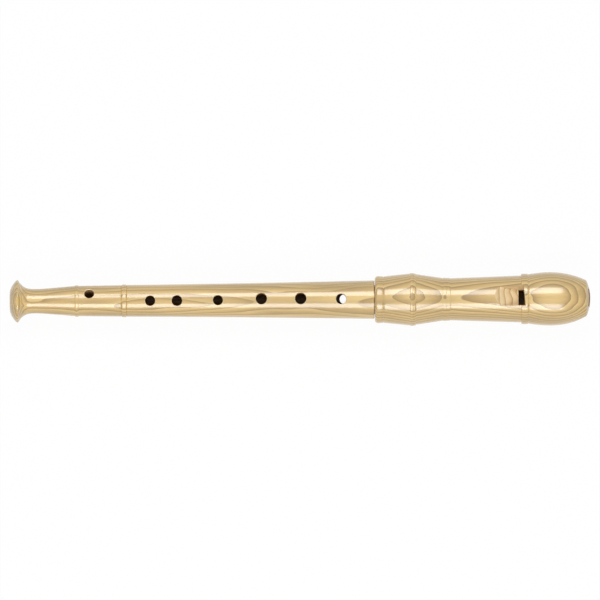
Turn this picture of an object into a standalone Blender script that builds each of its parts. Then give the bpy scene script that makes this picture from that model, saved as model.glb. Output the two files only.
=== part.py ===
"""Soprano recorder in two joints: a head with its block, and a body with the foot turned on it.

It lies on its back. +X runs along the bore from the foot to the beak, and the window faces +Z.
The origin is under the middle of the instrument, on the surface that it lies on.
"""

import math

import bmesh
import bpy
from mathutils import Vector

MM = 0.001

# Clearance between pieces that touch or seal on each other
SEAT_GAP = 0.3 * MM

# Facets of each turned surface, with one facet lying flat underneath
FACETS = 40
HOLE_FACETS = 20

# Foot end: a flat ring round the bore, and a domed end up to the rim
FOOT_RING_RADIUS = 5.6 * MM
FOOT_DOME_LENGTH = 4.2 * MM
FOOT_RIM_RADIUS = 12.0 * MM
FOOT_RIM_WIDTH = 0.4 * MM
DOME_POWER = 1.35

# Foot: the cove behind the rim, the waist, and the swell up to the foot bead
COVE_LENGTH = 11.1 * MM
COVE_BEND = 3.9
WAIST_RADIUS = 6.85 * MM
FOOT_SWELL_LENGTH = 20.7 * MM
FOOT_SWELL_RADIUS = 8.5 * MM
SWELL_BEND = 1.15

# Beads turned on the body, and the short shank between them
FOOT_BEAD_WIDTH = 2.2 * MM
FOOT_BEAD_HEIGHT = 0.32 * MM
SHANK_LENGTH = 23.5 * MM
SHANK_RADIUS = 8.8 * MM
BODY_BEAD_WIDTH = 2.8 * MM
BODY_BEAD_HEIGHT = 0.33 * MM
GROOVE_WIDTH = 0.4 * MM
GROOVE_DEPTH = 0.18 * MM

# Body: foot end to shoulder, and the radius at the shoulder
BODY_LENGTH = 204.0 * MM
SHOULDER_RADIUS = 10.77 * MM
SHOULDER_CHAMFER = 0.3 * MM
BODY_BEND = 1.35

# Tenon with its cork
TENON_LENGTH = 20.0 * MM
TENON_RADIUS = 8.2 * MM
TENON_CHAMFER = 0.5 * MM
CORK_GROOVE_SETBACK = 3.0 * MM
CORK_GROOVE_WIDTH = 12.0 * MM
CORK_GROOVE_DEPTH = 0.8 * MM
CORK_RADIUS = 8.4 * MM

# Bore: widest at the tenon, narrowest in the foot, with a short flare at the foot end
BORE_TOP_RADIUS = 6.2 * MM
BORE_CHOKE_RADIUS = 4.3 * MM
BORE_CHOKE_PLACE = 25.0 * MM
BORE_FLARE_RADIUS = 4.5 * MM
BORE_LIP_ROUND = 0.3 * MM

# Finger holes: place from the foot end, diameter, and turn from the window's line
FINGER_HOLES = (
    (44.5 * MM, 5.4 * MM, 23.7),
    (78.6 * MM, 5.6 * MM, -6.5),
    (93.6 * MM, 5.8 * MM, -6.5),
    (116.5 * MM, 5.5 * MM, -5.6),
    (140.8 * MM, 6.2 * MM, -1.2),
    (162.8 * MM, 6.3 * MM, -1.2),
    (185.4 * MM, 5.7 * MM, -3.3),
)
THUMB_HOLE_PLACE = 187.4 * MM
THUMB_HOLE_DIAMETER = 5.6 * MM
THUMB_HOLE_TURN = 170.7

# Head socket: a bead at the open end, a swelling cone, and a double bead over its blind end
SOCKET_WALL_AT_MOUTH = 2.9 * MM
SOCKET_MOUTH_CHAMFER = 0.4 * MM
SOCKET_BEAD_WIDTH = 4.6 * MM
SOCKET_BEAD_RADIUS = 13.2 * MM
SOCKET_BEAD_ROUND = 1.8 * MM
SOCKET_GROOVE_RADIUS = 12.9 * MM
SOCKET_GROOVE_WIDTH = 0.6 * MM
BULGE_LENGTH = 14.5 * MM
BULGE_RADIUS = 14.55 * MM
DOUBLE_BEAD_WIDTH = 1.7 * MM
DOUBLE_BEAD_HEIGHT = 0.3 * MM

# Head neck: the fall behind the double bead, a pair of fine beads, and the barrel
NECK_STEP_LENGTH = 1.8 * MM
NECK_STEP_RADIUS = 13.95 * MM
NECK_LENGTH = 13.1 * MM
NECK_RADIUS = 11.95 * MM
NECK_BEAD_WIDTH = 2.2 * MM
NECK_BEAD_HEIGHT = 0.12 * MM
BARREL_STEP = 0.18 * MM
BARREL_LENGTH = 39.6 * MM
BARREL_RADIUS = 13.13 * MM

# Bead over the window's end, and the beak: two arcs that meet at its widest place
WINDOW_BEAD_WIDTH = 3.6 * MM
WINDOW_BEAD_RISE = 0.82 * MM
WINDOW_BEAD_HEIGHT = 0.22 * MM
WINDOW_GROOVE_WIDTH = 0.8 * MM
BEAK_SWELL_LENGTH = 11.7 * MM
BEAK_RADIUS = 15.09 * MM
BEAK_FALL_LENGTH = 20.2 * MM
BEAK_FALL_RADIUS = 47.0 * MM
BEAK_END_RADIUS = 9.6 * MM
END_DOME_RADIUS = 25.0 * MM
BEAK_END_LENGTH = 2.4 * MM

# Head bore, with the socket that takes the tenon
HEAD_BORE_RADIUS = 6.5 * MM
TENON_END_GAP = 0.5 * MM

# Window: an 8.4 mm slot, its cut-up, and how far it reaches into the bead
WINDOW_WIDTH = 8.4 * MM
WINDOW_LENGTH = 3.4 * MM
WINDOW_REACH = 1.7 * MM
WINDOW_FLARE = 0.26

# Labium: the ramp down to the lip, and the undercut that leaves the lip thin
RAMP_LENGTH = 13.1 * MM
LIP_HEIGHT = 7.0 * MM
LIP_THICKNESS = 0.45 * MM
UNDERCUT_LENGTH = 9.0 * MM

# Windway: an arched slot over the block, wider and higher at the beak
WINDWAY_FLOOR = 6.1 * MM
WINDWAY_EXIT_HEIGHT = 1.0 * MM
WINDWAY_ENTRY_HEIGHT = 1.4 * MM
WINDWAY_ENTRY_WIDTH = 10.0 * MM
WINDWAY_ARCH = 16.0 * MM
WINDWAY_CHAMFER = 0.5 * MM
ARCH_STEPS = 8

# Underside of the beak: a round cut that rises to the tip
LIP_CUT_RADIUS = 40.0 * MM
LIP_CUT_TIP_HEIGHT = 3.0 * MM
LIP_CUT_TIP_SLOPE = 8.0
LIP_CUT_STEPS = 14

# Lengths and radii that follow from the sizes above
CORK_GROOVE_RADIUS = TENON_RADIUS - CORK_GROOVE_DEPTH
SOCKET_RADIUS = CORK_RADIUS + SEAT_GAP
SOCKET_DEPTH = TENON_LENGTH - SEAT_GAP + TENON_END_GAP
BARREL_START = (
    SOCKET_BEAD_WIDTH
    + SOCKET_GROOVE_WIDTH
    + BULGE_LENGTH
    + 2 * DOUBLE_BEAD_WIDTH
    + NECK_STEP_LENGTH
    + NECK_LENGTH
    + 2 * NECK_BEAD_WIDTH
)
BARREL_END = BARREL_START + BARREL_LENGTH
BEAK_START = BARREL_END + WINDOW_BEAD_WIDTH + WINDOW_GROOVE_WIDTH
BEAK_WIDEST = BEAK_START + BEAK_SWELL_LENGTH
HEAD_LENGTH = BEAK_WIDEST + BEAK_FALL_LENGTH + BEAK_END_LENGTH
WINDOW_END = BARREL_END + WINDOW_REACH
LIP_PLACE = WINDOW_END - WINDOW_LENGTH
HEAD_PLACE = BODY_LENGTH + SEAT_GAP
BLOCK_RADIUS = HEAD_BORE_RADIUS - SEAT_GAP
BLOCK_LENGTH = HEAD_LENGTH - WINDOW_END


def taper(start, end, bend=1.0, steps=1):
    """Profile points after start, up to end; a bend over 1 keeps close to the start's radius first."""
    (x0, r0), (x1, r1) = start, end
    shares = [i / steps for i in range(1, steps + 1)]
    return [(x0 + (x1 - x0) * t, r0 + (r1 - r0) * t**bend) for t in shares]


def bead(start, end, height, steps=5):
    """Profile points after start, up to end, over a half-round bead on the line between them."""
    (x0, r0), (x1, r1) = start, end
    points = []
    for i in range(1, steps + 1):
        angle = math.pi * i / steps
        share = (1 - math.cos(angle)) / 2
        points.append((x0 + (x1 - x0) * share, r0 + (r1 - r0) * share + height * math.sin(angle)))
    return points


def groove(start, end, depth):
    """Profile points after start, up to end, through a V cut between them."""
    (x0, r0), (x1, r1) = start, end
    return [((x0 + x1) / 2, (r0 + r1) / 2 - depth), end]


def end_dome(radius):
    """How far the beak's domed end falls short of its tip at this radius."""
    return END_DOME_RADIUS - math.sqrt(END_DOME_RADIUS**2 - radius**2)


def new_object(name, mesh_data, parent=None, place=0.0):
    """An object with its origin on the bore's axis, this far along from its parent's origin."""
    obj = bpy.data.objects.new(name, mesh_data)
    bpy.context.scene.collection.objects.link(obj)
    obj.parent = parent
    obj.location.x = place
    return obj


def finish_mesh(name, bm):
    """Turn a bmesh into a mesh with its faces out and its turned surfaces smooth."""
    bmesh.ops.recalc_face_normals(bm, faces=bm.faces)
    mesh = bpy.data.meshes.new(name)
    bm.to_mesh(mesh)
    bm.free()
    mesh.shade_smooth()
    mesh.set_sharp_from_angle(angle=math.radians(25))
    return mesh


def turned(name, profile):
    """A solid of revolution about X from a closed profile of (x, radius) points."""
    bm = bmesh.new()
    rings = []
    for x, radius in profile:
        ring = []
        for i in range(FACETS):
            angle = 2 * math.pi * (i + 0.5) / FACETS
            ring.append(bm.verts.new((x, radius * math.sin(angle), radius * math.cos(angle))))
        rings.append(ring)
    for ring, following in zip(rings, rings[1:] + rings[:1]):
        for i in range(FACETS):
            j = (i + 1) % FACETS
            bm.faces.new((ring[i], ring[j], following[j], following[i]))
    return finish_mesh(name, bm)


def lofted(name, sections):
    """A closed solid through cross-sections, each a list of as many points."""
    bm = bmesh.new()
    loops = [[bm.verts.new(point) for point in section] for section in sections]
    for loop, following in zip(loops, loops[1:]):
        for i in range(len(loop)):
            j = (i + 1) % len(loop)
            bm.faces.new((loop[i], loop[j], following[j], following[i]))
    bm.faces.new(loops[0])
    bm.faces.new(loops[-1])
    return finish_mesh(name, bm)


def across(name, outline, half_width):
    """A solid across the bore: an outline of (x, z) points, with its half width a function of z."""
    near = [(x, -half_width(z), z) for x, z in outline]
    far = [(x, half_width(z), z) for x, z in outline]
    return lofted(name, [near, far])


def cutter(name, mesh, parent):
    """A cutter that shows as wire and isn't part of the instrument."""
    obj = new_object(name, mesh, parent)
    obj.hide_render = True
    obj.display_type = "WIRE"
    return obj


def cut(obj, *tools):
    """Cut the tools out of an object."""
    for tool in tools:
        modifier = obj.modifiers.new(tool.name, "BOOLEAN")
        modifier.operation = "DIFFERENCE"
        modifier.solver = "EXACT"
        modifier.object = tool


def paint(obj, name, colour, roughness):
    """Give an object its material."""
    material = bpy.data.materials.new(name)
    material.use_nodes = True
    shader = material.node_tree.nodes["Principled BSDF"]
    shader.inputs["Base Color"].default_value = (*colour, 1.0)
    shader.inputs["Roughness"].default_value = roughness
    shader.inputs["Metallic"].default_value = 0.0
    obj.data.materials.append(material)


def body_profile():
    """The body's closed profile, from the foot's flat ring along the outside and back down the bore."""
    points = [(0.0, FOOT_RING_RADIUS)]
    dome_steps = 6
    for i in range(1, dome_steps + 1):
        inward = 1 - i / dome_steps
        rise = (1 - inward**DOME_POWER) ** (1 / DOME_POWER)
        radius = FOOT_RING_RADIUS + (FOOT_RIM_RADIUS - FOOT_RING_RADIUS) * rise
        points.append((FOOT_DOME_LENGTH * (1 - inward), radius))
    points.append((FOOT_DOME_LENGTH + FOOT_RIM_WIDTH, FOOT_RIM_RADIUS))

    waist = (points[-1][0] + COVE_LENGTH, WAIST_RADIUS)
    points += reversed(taper(waist, points[-1], COVE_BEND, 9)[:-1])
    points.append(waist)
    swell = (waist[0] + FOOT_SWELL_LENGTH, FOOT_SWELL_RADIUS)
    points += taper(waist, swell, SWELL_BEND, 5)

    points += bead(swell, (swell[0] + FOOT_BEAD_WIDTH, FOOT_SWELL_RADIUS), FOOT_BEAD_HEIGHT)
    shank = (points[-1][0] + SHANK_LENGTH, SHANK_RADIUS)
    points.append(shank)
    bead_start = (shank[0] + GROOVE_WIDTH, SHANK_RADIUS)
    points += groove(shank, bead_start, GROOVE_DEPTH)
    bead_end = (bead_start[0] + BODY_BEAD_WIDTH, SHANK_RADIUS + GROOVE_DEPTH / 2)
    points += bead(bead_start, bead_end, BODY_BEAD_HEIGHT)
    long_start = (bead_end[0] + GROOVE_WIDTH, bead_end[1])
    points += groove(bead_end, long_start, GROOVE_DEPTH)

    long_end = (BODY_LENGTH - SHOULDER_CHAMFER, SHOULDER_RADIUS)
    points += taper(long_start, long_end, BODY_BEND, 8)
    points.append((BODY_LENGTH, SHOULDER_RADIUS - SHOULDER_CHAMFER))
    points.append((BODY_LENGTH, TENON_RADIUS))

    groove_start = BODY_LENGTH + CORK_GROOVE_SETBACK
    groove_end = groove_start + CORK_GROOVE_WIDTH
    points.append((groove_start, TENON_RADIUS))
    points.append((groove_start, CORK_GROOVE_RADIUS))
    points.append((groove_end, CORK_GROOVE_RADIUS))
    points.append((groove_end, TENON_RADIUS))
    tenon_end = BODY_LENGTH + TENON_LENGTH
    points.append((tenon_end - TENON_CHAMFER, TENON_RADIUS))
    points.append((tenon_end, TENON_RADIUS - TENON_CHAMFER))

    points.append((tenon_end, BORE_TOP_RADIUS))
    points.append((BORE_CHOKE_PLACE, BORE_CHOKE_RADIUS))
    points.append((BORE_LIP_ROUND, BORE_FLARE_RADIUS))
    points.append((0.0, BORE_FLARE_RADIUS + BORE_LIP_ROUND))
    return points


def drills():
    """One round cutter for each finger hole and the thumb hole, from inside the bore outwards."""
    bm = bmesh.new()
    start = BORE_CHOKE_RADIUS / 2
    end = SHOULDER_RADIUS * 1.5
    holes = [*FINGER_HOLES, (THUMB_HOLE_PLACE, THUMB_HOLE_DIAMETER, THUMB_HOLE_TURN)]
    for place, diameter, turn in holes:
        out = Vector((0.0, math.sin(math.radians(turn)), math.cos(math.radians(turn))))
        along = Vector((1.0, 0.0, 0.0))
        side = out.cross(along)
        rims = []
        for reach in (start, end):
            rim = []
            for i in range(HOLE_FACETS):
                angle = 2 * math.pi * i / HOLE_FACETS
                spoke = (along * math.cos(angle) + side * math.sin(angle)) * diameter / 2
                rim.append(bm.verts.new(along * place + out * reach + spoke))
            rims.append(rim)
        for i in range(HOLE_FACETS):
            j = (i + 1) % HOLE_FACETS
            bm.faces.new((rims[0][i], rims[0][j], rims[1][j], rims[1][i]))
        bm.faces.new(rims[0])
        bm.faces.new(rims[1])
    return finish_mesh("finger_hole_drills", bm)


def cork_profile():
    """The cork ring's closed profile, measured from its own end in the tenon's groove."""
    length = CORK_GROOVE_WIDTH - 2 * SEAT_GAP
    inner = CORK_GROOVE_RADIUS + SEAT_GAP
    return [(0.0, inner), (0.0, CORK_RADIUS), (length, CORK_RADIUS), (length, inner)]


def head_profile():
    """The head's closed profile, from the socket mouth along the outside to the tip and back."""
    mouth_outside = SOCKET_RADIUS + SOCKET_WALL_AT_MOUTH
    points = [(0.0, mouth_outside)]
    round_steps = 3
    for i in range(1, round_steps + 1):
        angle = math.pi / 2 * i / round_steps
        x = SOCKET_BEAD_ROUND * (1 - math.cos(angle))
        points.append((x, mouth_outside + (SOCKET_BEAD_RADIUS - mouth_outside) * math.sin(angle)))
    groove_start = (SOCKET_BEAD_WIDTH, (SOCKET_BEAD_RADIUS + SOCKET_GROOVE_RADIUS) / 2)
    cone_start = (SOCKET_BEAD_WIDTH + SOCKET_GROOVE_WIDTH, groove_start[1])
    points.append(groove_start)
    points += groove(groove_start, cone_start, groove_start[1] - SOCKET_GROOVE_RADIUS)

    first = (cone_start[0] + BULGE_LENGTH, BULGE_RADIUS)
    second = (first[0] + DOUBLE_BEAD_WIDTH, BULGE_RADIUS + GROOVE_DEPTH / 2)
    third = (second[0] + DOUBLE_BEAD_WIDTH, NECK_STEP_RADIUS + GROOVE_DEPTH)
    points.append(first)
    points += bead(first, second, DOUBLE_BEAD_HEIGHT)
    points += bead(second, third, DOUBLE_BEAD_HEIGHT)

    step_end = (third[0] + NECK_STEP_LENGTH, NECK_STEP_RADIUS)
    neck = (step_end[0] + NECK_LENGTH, NECK_RADIUS)
    points += [step_end, neck]
    for i in range(2):
        start = points[-1]
        end = (start[0] + NECK_BEAD_WIDTH, NECK_RADIUS - GROOVE_DEPTH * i)
        points += bead(start, end, NECK_BEAD_HEIGHT)
    barrel_end = (BARREL_END - BARREL_STEP, BARREL_RADIUS)
    points.append(barrel_end)

    top = BARREL_RADIUS + WINDOW_BEAD_RISE
    window_bead = (BARREL_END, top)
    bead_end = (BARREL_END + WINDOW_BEAD_WIDTH, top)
    points.append(window_bead)
    points += bead(window_bead, bead_end, WINDOW_BEAD_HEIGHT)
    points += groove(bead_end, (BEAK_START, top), GROOVE_DEPTH)

    swell_steps = 4
    for i in range(1, swell_steps + 1):
        share = i / swell_steps
        radius = top + (BEAK_RADIUS - top) * math.sin(math.pi / 2 * share)
        points.append((BEAK_START + BEAK_SWELL_LENGTH * share, radius))
    fall_steps = 7
    for i in range(1, fall_steps + 1):
        x = BEAK_FALL_LENGTH * i / fall_steps
        fall = BEAK_FALL_RADIUS - math.sqrt(BEAK_FALL_RADIUS**2 - x**2)
        points.append((BEAK_WIDEST + x, BEAK_RADIUS - fall))
    for radius in (BEAK_END_RADIUS, (BEAK_END_RADIUS + HEAD_BORE_RADIUS) / 2, HEAD_BORE_RADIUS):
        points.append((HEAD_LENGTH - end_dome(radius), radius))

    points.append((SOCKET_DEPTH, HEAD_BORE_RADIUS))
    points.append((SOCKET_DEPTH, SOCKET_RADIUS))
    points.append((SOCKET_MOUTH_CHAMFER, SOCKET_RADIUS))
    points.append((0.0, SOCKET_RADIUS + SOCKET_MOUTH_CHAMFER))
    return points


def arch(half_width, crest):
    """(y, z) points of a shallow arch from -y to +y, with its crest at this height."""
    points = []
    for i in range(ARCH_STEPS + 1):
        y = half_width * (2 * i / ARCH_STEPS - 1)
        points.append((y, crest - WINDWAY_ARCH + math.sqrt(WINDWAY_ARCH**2 - y**2)))
    return points


def windway_share(x):
    """0 at the windway's exit and 1 at the beak's tip."""
    return (x - WINDOW_END) / BLOCK_LENGTH


def windway_half_width(x):
    """Half the windway's width at a place along the head."""
    return (WINDOW_WIDTH + (WINDWAY_ENTRY_WIDTH - WINDOW_WIDTH) * windway_share(x)) / 2


def windway_roof(x):
    """Height of the windway's roof over the bore's axis at a place along the head."""
    rise = (WINDWAY_ENTRY_HEIGHT - WINDWAY_EXIT_HEIGHT) * windway_share(x)
    return WINDWAY_FLOOR + WINDWAY_EXIT_HEIGHT + rise


def windway_mesh():
    """The slot over the block, with a chamfer where it opens into the window."""
    inside_window = WINDOW_END - WINDOW_LENGTH / 2
    chamfer_end = WINDOW_END + WINDWAY_CHAMFER
    past_tip = HEAD_LENGTH + BEAK_END_LENGTH
    stations = (
        (inside_window, WINDWAY_CHAMFER),
        (WINDOW_END, WINDWAY_CHAMFER),
        (chamfer_end, 0.0),
        (past_tip, 0.0),
    )
    bottom = math.sqrt(HEAD_BORE_RADIUS**2 - (WINDWAY_ENTRY_WIDTH / 2) ** 2) - 2 * SEAT_GAP
    sections = []
    for x, lift in stations:
        half_width = windway_half_width(x)
        roof = arch(half_width, windway_roof(x) + lift)
        outline = [(half_width, bottom), (-half_width, bottom), *roof]
        sections.append([(x, y, z) for y, z in outline])
    return lofted("windway_cutter", sections)


def window_half_width(height):
    """Half the window's width: upright up to the lip, then leaning out to the surface."""
    return WINDOW_WIDTH / 2 + WINDOW_FLARE * max(height - LIP_HEIGHT, 0.0)


def window_mesh():
    """The slot between the lip and the windway's exit, down into the bore."""
    bottom = HEAD_BORE_RADIUS / 2
    top = LIP_HEIGHT + SEAT_GAP
    outline = [(LIP_PLACE, bottom), (WINDOW_END, bottom), (WINDOW_END, top), (LIP_PLACE, top)]
    return across("window_cutter", outline, lambda z: WINDOW_WIDTH / 2)


def ramp_mesh():
    """The labium's ramp, from the surface of the barrel down to the lip, and the flare over the window."""
    barrel_slope = (BARREL_RADIUS - NECK_RADIUS) / BARREL_LENGTH
    surface = BARREL_RADIUS - barrel_slope * (RAMP_LENGTH + WINDOW_LENGTH)
    slope = (surface - LIP_HEIGHT) / RAMP_LENGTH
    top = BEAK_RADIUS + WINDOW_WIDTH / 2
    start = LIP_PLACE - (top - LIP_HEIGHT) / slope
    outline = [(start, top), (LIP_PLACE, LIP_HEIGHT), (WINDOW_END, LIP_HEIGHT), (WINDOW_END, top)]
    return across("ramp_cutter", outline, window_half_width)


def undercut_mesh():
    """The hollow under the labium that leaves its lip thin and straight."""
    bottom = HEAD_BORE_RADIUS / 2
    lip_underside = LIP_HEIGHT - LIP_THICKNESS
    inside_window = LIP_PLACE + WINDOW_LENGTH / 2
    back = LIP_PLACE - UNDERCUT_LENGTH
    outline = [
        (back, bottom),
        (inside_window, bottom),
        (inside_window, lip_underside),
        (LIP_PLACE, lip_underside),
    ]
    return across("undercut_cutter", outline, lambda z: WINDOW_WIDTH / 2)


def lip_cut_mesh():
    """The round cut under the beak, rising to the tip."""
    slope = math.radians(LIP_CUT_TIP_SLOPE)
    centre_x = HEAD_LENGTH + LIP_CUT_RADIUS * math.sin(slope)
    centre_z = LIP_CUT_TIP_HEIGHT - LIP_CUT_RADIUS * math.cos(slope)
    outline = []
    for i in range(LIP_CUT_STEPS + 1):
        angle = math.radians(80.0) * i / LIP_CUT_STEPS
        x = centre_x - LIP_CUT_RADIUS * math.sin(angle)
        outline.append((x, centre_z + LIP_CUT_RADIUS * math.cos(angle)))
    outline.append((centre_x, outline[-1][1]))
    return across("lip_cutter", outline, lambda z: BEAK_RADIUS * 1.5)


def block_section(x, top_drop=0.0, size=1.0):
    """The block's cross-section: round below, with a raised arched top that fits the windway."""
    half_width = windway_half_width(x) - SEAT_GAP
    corner = math.asin(half_width / BLOCK_RADIUS)
    round_steps = 24
    outline = []
    for i in range(round_steps + 1):
        angle = corner + (2 * math.pi - 2 * corner) * i / round_steps
        outline.append((BLOCK_RADIUS * math.sin(angle), BLOCK_RADIUS * math.cos(angle)))
    outline += arch(half_width, WINDWAY_FLOOR - top_drop)
    return [(y * size, z * size) for y, z in outline]


def block_mesh():
    """The block, measured from its face at the window, with a domed end flush with the beak."""
    start = WINDOW_END
    stations = ((start, WINDWAY_CHAMFER), (start + WINDWAY_CHAMFER, 0.0))
    sections = [[(x - start, y, z) for y, z in block_section(x, drop)] for x, drop in stations]
    for size in (1.0, 0.5, 0.1):
        domed = []
        for y, z in block_section(HEAD_LENGTH, 0.0, size):
            domed.append((BLOCK_LENGTH - end_dome(math.hypot(y, z)), y, z))
        sections.append(domed)
    return lofted("block", sections)


def reach(*pieces):
    """The low and the high corner of the box round some pieces, once their cuts are made."""
    bpy.context.view_layer.update()
    depsgraph = bpy.context.evaluated_depsgraph_get()
    corners = []
    for piece in pieces:
        evaluated = piece.evaluated_get(depsgraph)
        corners += [evaluated.matrix_world @ vertex.co for vertex in evaluated.data.vertices]
    low = Vector(min(corner[axis] for corner in corners) for axis in range(3))
    high = Vector(max(corner[axis] for corner in corners) for axis in range(3))
    return low, high


def build():
    """Model the instrument and lay it on the surface z = 0."""
    for obj in list(bpy.data.objects):
        bpy.data.objects.remove(obj, do_unlink=True)

    instrument = new_object("instrument", None)

    body = new_object("body_joint", turned("body_joint", body_profile()), instrument)
    paint(body, "lacquered_body_wood", (0.63, 0.46, 0.20), 0.2)
    cut(body, cutter("finger_hole_drills", drills(), body))

    cork_place = BODY_LENGTH + CORK_GROOVE_SETBACK + SEAT_GAP
    cork = new_object("tenon_cork", turned("tenon_cork", cork_profile()), instrument, cork_place)
    paint(cork, "cork", (0.45, 0.27, 0.13), 0.9)

    head = new_object("head_joint", turned("head_joint", head_profile()), instrument, HEAD_PLACE)
    paint(head, "lacquered_head_wood", (0.65, 0.48, 0.22), 0.2)
    lip_cutter = cutter("lip_cutter", lip_cut_mesh(), head)
    cut(
        head,
        cutter("windway_cutter", windway_mesh(), head),
        cutter("window_cutter", window_mesh(), head),
        cutter("ramp_cutter", ramp_mesh(), head),
        cutter("undercut_cutter", undercut_mesh(), head),
        lip_cutter,
    )

    block = new_object("block", block_mesh(), head, WINDOW_END)
    paint(block, "cedar", (0.42, 0.20, 0.10), 0.6)
    cut(block, lip_cutter)

    low, high = reach(body, head, block)
    instrument.location = (-(low.x + high.x) / 2, 0.0, -low.z)


build()
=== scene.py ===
"""Soprano recorder in clear-lacquered wood, lying on a white table with its window up."""

import math

import bmesh
import bpy
from mathutils import Matrix, Vector


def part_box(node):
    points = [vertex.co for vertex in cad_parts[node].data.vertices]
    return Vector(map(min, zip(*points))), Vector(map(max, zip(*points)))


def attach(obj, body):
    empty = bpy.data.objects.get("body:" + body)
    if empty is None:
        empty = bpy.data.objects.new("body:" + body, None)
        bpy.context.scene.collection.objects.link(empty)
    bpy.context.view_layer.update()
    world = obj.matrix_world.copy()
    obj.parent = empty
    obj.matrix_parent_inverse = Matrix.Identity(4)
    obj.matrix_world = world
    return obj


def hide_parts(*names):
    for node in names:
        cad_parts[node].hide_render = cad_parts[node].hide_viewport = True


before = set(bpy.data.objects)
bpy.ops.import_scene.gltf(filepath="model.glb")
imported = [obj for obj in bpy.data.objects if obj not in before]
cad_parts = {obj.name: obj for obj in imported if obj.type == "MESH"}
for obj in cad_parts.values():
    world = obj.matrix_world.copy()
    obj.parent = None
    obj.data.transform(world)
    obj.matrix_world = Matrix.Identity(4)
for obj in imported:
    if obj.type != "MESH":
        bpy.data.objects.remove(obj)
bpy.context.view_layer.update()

# Body
# The long joint and the foot are one turning of straw-coloured hardwood, bored right through.
# Seven finger holes and a thumb hole are drilled into it and their rims are rounded by hand.
# It is finished in clear gloss lacquer outside and only oiled inside.
MM = 0.001
BODY_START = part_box("body_joint")[0].x
AXIS_HEIGHT = sum(corner.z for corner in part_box("tenon_cork")) / 2
TURNED_FACETS = 192
CREASE = math.radians(28)
SEAM = 0.001 * MM

FOOT_RING_RADIUS = 5.6 * MM
FOOT_DOME_LENGTH = 4.2 * MM
FOOT_RIM_RADIUS = 11.95 * MM
FOOT_RIM_WIDTH = 0.4 * MM
DOME_POWER = 1.35
COVE_LENGTH = 11.1 * MM
COVE_BEND = 3.9
WAIST_RADIUS = 6.85 * MM
FOOT_SWELL_LENGTH = 20.7 * MM
FOOT_SWELL_RADIUS = 8.5 * MM
SWELL_BEND = 1.15
FOOT_BEAD_WIDTH = 2.2 * MM
FOOT_BEAD_HEIGHT = 0.32 * MM
SHANK_LENGTH = 23.5 * MM
SHANK_RADIUS = 8.8 * MM
BODY_BEAD_WIDTH = 2.8 * MM
BODY_BEAD_HEIGHT = 0.33 * MM
GROOVE_WIDTH = 0.4 * MM
GROOVE_DEPTH = 0.18 * MM
BODY_LENGTH = 204.0 * MM
SHOULDER_RADIUS = 10.77 * MM
SHOULDER_CHAMFER = 0.3 * MM
BODY_BEND = 1.35
TENON_LENGTH = 20.0 * MM
TENON_RADIUS = 8.2 * MM
TENON_CHAMFER = 0.5 * MM
CORK_GROOVE_SETBACK = 3.0 * MM
CORK_GROOVE_WIDTH = 12.0 * MM
CORK_GROOVE_RADIUS = 7.4 * MM
BORE_TOP_RADIUS = 6.2 * MM
BORE_CHOKE_RADIUS = 4.3 * MM
BORE_CHOKE_PLACE = 25.0 * MM
BORE_FLARE_RADIUS = 4.5 * MM
BORE_LIP_ROUND = 0.3 * MM

# How finely each stretch of the body's profile is stepped
DOME_STEPS = 20
COVE_STEPS = 30
FOOT_SWELL_STEPS = 20
SHANK_STEPS = 22
LONG_STEPS = 130
BORE_STEPS = 60
FLARE_STEPS = 8

# Place from the foot and diameter in mm, and turn in degrees from the window's side towards the
# player's right. The little finger's hole comes first and the thumb hole last.
TONE_HOLES = (
    (44.5, 5.4, 23.7),
    (78.6, 5.6, -6.5),
    (93.6, 5.8, -6.5),
    (116.5, 5.5, -5.6),
    (140.8, 6.2, -1.2),
    (162.8, 6.3, -1.2),
    (185.4, 5.7, -3.3),
    (187.4, 5.6, 170.7),
)
RIM_ROUND = 0.55 * MM
RIM_END = math.radians(68)
RIM_STEPS = 7
DRILL_FACETS = 72
DRILL_START = BORE_CHOKE_RADIUS / 2
DRILL_CLEARANCE = 2.0 * MM


def linear(hex_colour):
    """A colour written as sRGB hex, as the linear RGBA that a node takes."""
    channels = [int(hex_colour[i : i + 2], 16) / 255 for i in (1, 3, 5)]
    bent = [c / 12.92 if c <= 0.04045 else ((c + 0.055) / 1.055) ** 2.4 for c in channels]
    return (*bent, 1.0)


def add(tree, kind, settings=None, inputs=None):
    """Add a node with its settings, and its inputs as values or as links from other sockets."""
    node = tree.nodes.new(kind)
    for key, value in (settings or {}).items():
        setattr(node, key, value)
    for key, value in (inputs or {}).items():
        if isinstance(value, bpy.types.NodeSocket):
            tree.links.new(value, node.inputs[key])
        else:
            node.inputs[key].default_value = value
    return node


def set_stops(ramp_node, stops):
    """Give a colour ramp its stops, as (place, sRGB hex) pairs."""
    elements = ramp_node.color_ramp.elements
    while len(elements) < len(stops):
        elements.new(1.0)
    for element, (place, hex_colour) in zip(elements, stops):
        element.position = place
        element.color = linear(hex_colour)


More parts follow.
